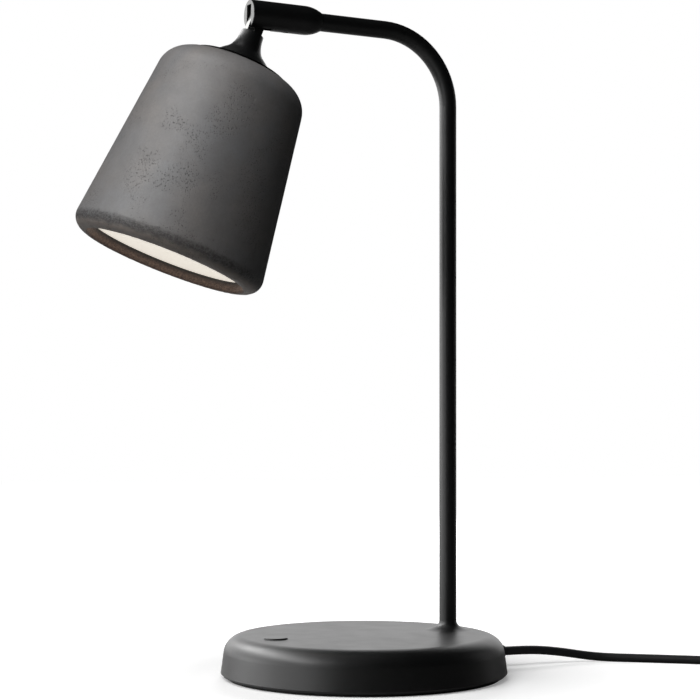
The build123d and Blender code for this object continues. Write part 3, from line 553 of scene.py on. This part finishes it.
def concrete_shade(finish):
    """The cast shade as a dense lathe, with pits, a wavy skin and a crumbled rim."""
    stretches = shade_outline()
    outline = [point for points in stretches.values() for point in points]
    zones = [zone for zone, points in stretches.items() for point in points]
    spokes = [
        side_dir * cos(2 * pi * step / around_count) + cross_dir * sin(2 * pi * step / around_count)
        for step in range(around_count)
    ]
    rows = []
    raw = []
    for index, (radius, s) in enumerate(outline):
        before = outline[index - 1]
        after = outline[(index + 1) % len(outline)]
        out = Vector((after[1] - before[1], before[0] - after[0])).normalized()
        row = []
        for spoke in spokes:
            place = pin_point + shade_dir * s + spoke * radius
            if zones[index] in ("skin", "mouth"):
                place += (spoke * out[0] + shade_dir * out[1]) * skin_depth(place, s, radius)
            row.append(place)
        rows.append(row)
        raw += [float(zones[index] in ("mouth", "inside"))] * around_count
    start = len(stretches["covered"])
    press_pits(rows[start : start + len(stretches["skin"])], stretches["skin"])
    mesh = grid_mesh("concrete_shade", rows)
    layer = mesh.attributes.new("raw", "FLOAT", "POINT")
    layer.data.foreach_set("value", raw)
    piece = new_piece("concrete_shade", "head", finish, mesh)
    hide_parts("shade_shell")
    return piece


# -------------------------------------------------------------- mains lead
lead_radius = 3.1 * mm

# Its route and its coil are in millimetres, as in the CAD part
lead_route = [
    (109, 0, 11.1),
    (126, 0, 11.1),
    (144, 0.2, 9.8),
    (161, -0.6, 7.3),
    (176, -2.8, 4.6),
    (190, -8.5, 3.2),
    (206, -19.5, 3.1),
    (224, -33.5, 3.1),
    (244, -50, 3.1),
    (265, -66.5, 3.1),
]
tail_route = [
    (217.0, -93.7, 9.4),
    (224.5, -83.6, 10.4),
    (236.3, -76.7, 13.2),
    (249.6, -74.8, 16.9),
    (262.7, -78.3, 19.45),
    (272.2, -85.6, 19.45),
]
coil_centre = Vector((257.0, -116.8, 0))
coil_pitch = 6.3
coil_wide = 46.1
coil_narrow = 24.9
coil_turns = 3.375
coil_first_angle = 52.5
steps_a_turn = 16


def coil_points():
    """Two layers of turns: inwards on the surface, then outwards on top."""
    points = []
    steps = int(2 * coil_turns * steps_a_turn)
    half = steps / 2
    for step in range(steps):
        angle = radians(coil_first_angle - 360 * step / steps_a_turn)
        inwards = 1 - abs(step - half) / half
        radius = coil_wide + (coil_narrow - coil_wide) * inwards
        rise = smooth(step, half - 2, half + 2)
        height = lead_radius / mm + coil_pitch * rise
        spoke = Vector((cos(angle), sin(angle), 0)) * radius
        points.append(coil_centre + spoke + up * height)
    return points


def mains_lead(finish):
    """The whole lead as one smooth curve, from the gland to the plug."""
    route = [Vector(point) for point in lead_route] + coil_points()
    route += [Vector(point) for point in tail_route]
    data = bpy.data.curves.new("mains_lead", "CURVE")
    data.dimensions = "3D"
    data.bevel_depth = lead_radius
    data.bevel_resolution = 5
    data.resolution_u = 7
    data.use_fill_caps = True
    line = data.splines.new("NURBS")
    line.points.add(len(route) - 1)
    for point, place in zip(line.points, route):
        point.co = (*(place * mm), 1)
    line.order_u = 3
    line.use_endpoint_u = True
    data.materials.append(finish)
    lead = bpy.data.objects.new("mains_lead", data)
    bpy.context.scene.collection.objects.link(lead)
    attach(lead, "stand")
    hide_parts("cord_lead", "cord_coil", "cord_tail")
    return lead


# ---------------------------------------------------- strap round the coil
strap_angle = radians(-125)             # where it stands round the coil
strap_half_width = 4.5 * mm
strap_thickness = 0.7 * mm
strap_half_span = 14.5 * mm             # of its ring, outside, across the coil's strands
strap_half_rise = 6.7 * mm
strap_corner = 3.2 * mm
strap_step = 0.5 * mm
strap_strands = 23                      # woven strands across its width
weave_depth = 0.06 * mm
hem_width = 0.8 * mm
hem_depth = 0.25 * mm


def strap_ring(middle, half_span, half_rise, corner):
    """Points round a rounded rectangle in the plane of a spoke of the coil and up."""
    ring = []
    for quarter, (side_x, side_z) in enumerate(((1, 1), (-1, 1), (-1, -1), (1, -1))):
        centre = (side_x * (half_span - corner), side_z * (half_rise - corner))
        start = quarter * pi / 2
        stop = start + pi / 2
        ring += arc_points(centre, corner, start, stop, strap_step)
        end = (centre[0] + corner * cos(stop), centre[1] + corner * sin(stop))
        onwards = (-2 * (half_span - corner), -2 * (half_rise - corner))[quarter % 2]
        if quarter >= 2:
            onwards = -onwards
        run = (onwards, 0) if quarter % 2 == 0 else (0, onwards)
        ring += line_points(end, (end[0] + run[0], end[1] + run[1]), strap_step)
    return [(middle[0] + x, middle[1] + z) for x, z in ring]


def coil_strap(finish):
    """A woven strap round the coil's strands, as one closed ring."""
    spoke = Vector((cos(strap_angle), sin(strap_angle), 0))
    along = Vector((-sin(strap_angle), cos(strap_angle), 0))
    low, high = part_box("coil_tie")
    middle = ((coil_wide + coil_narrow) / 2 * mm, (low.z + high.z) / 2)
    centre = coil_centre * mm
    rows = []
    outer = strap_ring(middle, strap_half_span, strap_half_rise, strap_corner)
    inner = strap_ring(
        middle,
        strap_half_span - strap_thickness,
        strap_half_rise - strap_thickness,
        strap_corner - strap_thickness,
    )
    inner = [inner[int(i * len(inner) / len(outer))] for i in range(len(outer))]
    for number, (out, in_) in enumerate(zip(outer, inner)):
        row = []
        for side, at in ((1, out), (-1, in_)):
            for strand in range(strap_strands):
                share = 1 - 2 * strand / (strap_strands - 1)
                across = side * share * strap_half_width
                weave = weave_depth * (-1) ** (strand + number // 2)
                edge = smooth(abs(across), strap_half_width - hem_width, strap_half_width)
                inward = Vector((middle[0] - at[0], middle[1] - at[1])).normalized()
                shift = inward * side * (edge * hem_depth - min(0, weave))
                place = spoke * (at[0] + shift.x) + up * (at[1] + shift.y)
                row.append(centre + place + along * across)
        rows.append(row)
    mesh = grid_mesh("coil_strap", rows)
    piece = new_piece("coil_strap", "stand", finish, mesh)
    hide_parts("coil_tie")
    return piece


# -------------------------------------------------------------- stage, light
light_aim = 0.2


def softbox(name, bearing, rise, distance, size, radiance, hidden_from=()):
    """An area light aimed at the lamp, from a bearing (0 at the camera, growing rightwards).

    The rise is in degrees, and hidden_from names the kinds of ray that don't see the light.
    """
    turn = radians(bearing)
    lift = radians(rise)
    flat = view_right * sin(turn) - view_ahead * cos(turn)
    away = flat * cos(lift) + up * sin(lift)
    data = bpy.data.lights.new(name, "AREA")
    data.shape = "RECTANGLE"
    data.size, data.size_y = size
    data.energy = radiance * size[0] * size[1] * pi
    light = bpy.data.objects.new(name, data)
    light.location = up * light_aim + away * distance
    light.rotation_euler = away.to_track_quat("Z", "Y").to_euler()
    for kind in ("camera", *hidden_from):
        setattr(light, "visible_" + kind, False)
    bpy.context.scene.collection.objects.link(light)
    return light


def make_world():
    """White behind the lamp for the camera, near darkness for everything else."""
    world = bpy.data.worlds.new("studio")
    bpy.context.scene.world = world
    world.use_nodes = True
    tree = world.node_tree
    ambient = tree.nodes["Background"]
    ambient.inputs["Color"].default_value = (0.9, 0.95, 1, 1)
    ambient.inputs["Strength"].default_value = 0.008
    white = tree.nodes.new("ShaderNodeBackground")
    white.inputs["Color"].default_value = (1, 1, 1, 1)
    white.inputs["Strength"].default_value = 1.0
    path = tree.nodes.new("ShaderNodeLightPath")
    mix = tree.nodes.new("ShaderNodeMixShader")
    tree.links.new(path.outputs["Is Camera Ray"], mix.inputs[0])
    tree.links.new(ambient.outputs[0], mix.inputs[1])
    tree.links.new(white.outputs[0], mix.inputs[2])
    tree.links.new(mix.outputs[0], tree.nodes["World Output"].inputs["Surface"])


def make_floor():
    """A pale floor, almost burnt out as paper under studio lights is. This is painted light: the
    camera sees it paler than other rays do, and glowing, least near the lamp.
    """
    half = 5.0
    mesh = bpy.data.meshes.new("floor")
    corners = [(-half, -half, 0), (half, -half, 0), (half, half, 0), (-half, half, 0)]
    mesh.from_pydata(corners, [], [(0, 1, 2, 3)])
    floor = bpy.data.objects.new("floor", mesh)
    bpy.context.scene.collection.objects.link(floor)
    matt = {"Roughness": 0.9, "Specular IOR Level": 0.0}
    finish = Finish("floor", {**matt, "Emission Color": (1, 1, 1, 1)})
    ray = finish.add("ShaderNodeLightPath").outputs
    seen = ray["Is Camera Ray"]
    # painted light: in reflections the floor is paler on the left, on the lights' side
    painted_light_leftwards = finish.ramp(finish.along(view_right), -0.12, 0.10, 1, 0)
    reflected = finish.mix(painted_light_leftwards, (0.18, 0.18, 0.18), (0.62, 0.62, 0.62))
    unseen = finish.mix(ray["Is Glossy Ray"], (0.10, 0.10, 0.10), reflected)
    finish.use("Base Color", finish.mix(seen, unseen, (0.80, 0.80, 0.80)))
    place = {0: finish.place}
    away = finish.add("ShaderNodeVectorMath", place, operation="LENGTH").outputs["Value"]
    # painted light: the glow that burns the floor out, lower near the lamp so that its contact
    # shadow still shows
    near_glow = finish.ramp(away, 0.12, 0.26, 0.26, 0.75)
    painted_glow = finish.maths("ADD", near_glow, finish.ramp(away, 0.26, 0.9, 0, 0.25))
    finish.use("Emission Strength", finish.maths("MULTIPLY", seen, painted_glow))
    mesh.materials.append(finish.material)


def make_lights():
    """The key lights everything but shines on the shade alone: its gloss is a light of its own."""
    key_place = (-43, 44, 1.5, (1.5, 1.3), 4.7)
    softbox("key", *key_place, ["glossy"])
    gleam = softbox("gleam", *key_place, ["diffuse"])
    high_left = softbox("high_left", -94, 38, 1.6, (3.2, 0.5), 9.0, ["diffuse"])
    walls = [
        softbox("left_wall", -115, 20, 1.7, (2.3, 1.6), 2.0, ["diffuse"]),
        softbox("low_left", -76, 0, 1.6, (3.0, 0.4), 3.6, ["diffuse"]),
        softbox("overhead", -100, 78, 1.5, (0.5, 0.3), 2.5, ["diffuse"]),
        softbox("backdrop", 178, 14, 1.6, (2.2, 1.2), 1.5, ["diffuse"]),
        softbox("right_strip", 118, 5, 1.5, (0.35, 0.9), 0.8, ["diffuse"]),
    ]
    softbox("back_fill", 178, 24, 2.2, (0.5, 0.5), 20, ["glossy"])
    softbox("top_fill", 40, 62, 1.5, (0.8, 0.8), 0.9, ["glossy"])
    return gleam, high_left, walls


def link_light(light, pieces, link_state):
    """Keeps a light to some pieces, or off them, as cards and flags do in a studio."""
    receivers = bpy.data.collections.new(light.name + "_receivers")
    for piece in pieces:
        receivers.objects.link(piece)
    for row in receivers.collection_objects:
        row.light_linking.link_state = link_state
    light.light_linking.receiver_collection = receivers


# ---------------------------------------------------------------- assembly
make_camera()
make_world()
make_floor()
gleam, high_left, walls = make_lights()
finishes = make_finishes()
for row in frame["record"]["subparts"]:
    frame["nodes"][row["node"]].data.materials.clear()
    frame["nodes"][row["node"]].data.materials.append(finishes[row["material_slot"]])
frame["nodes"]["joint_barrel"].data.materials[0] = barrel_finish()
frame["nodes"]["dimmer_button"].data.materials[0] = painted_lit_button()
frame["nodes"]["neck_cap"].data.materials[0] = neck_finish()
frame["nodes"]["knuckle"].data.materials[0] = painted_shade_tongue()
shade = concrete_shade(finishes["concrete"])
joint = [frame["nodes"][name] for name in ("joint_barrel", "knuckle")]
link_light(gleam, [shade], "INCLUDE")
link_light(high_left, [shade, *joint], "EXCLUDE")
for wall in walls:
    link_light(wall, [shade], "EXCLUDE")
lead = mains_lead(finishes["cord_rubber"])
on_lead = [frame["nodes"][name] for name in ("plug_relief", "plug_body", "plug_pins")]
on_lead.append(coil_strap(finishes["tie_fabric"]))

settings = bpy.context.scene.view_settings
settings.view_transform = "Standard"
settings.look = "None"
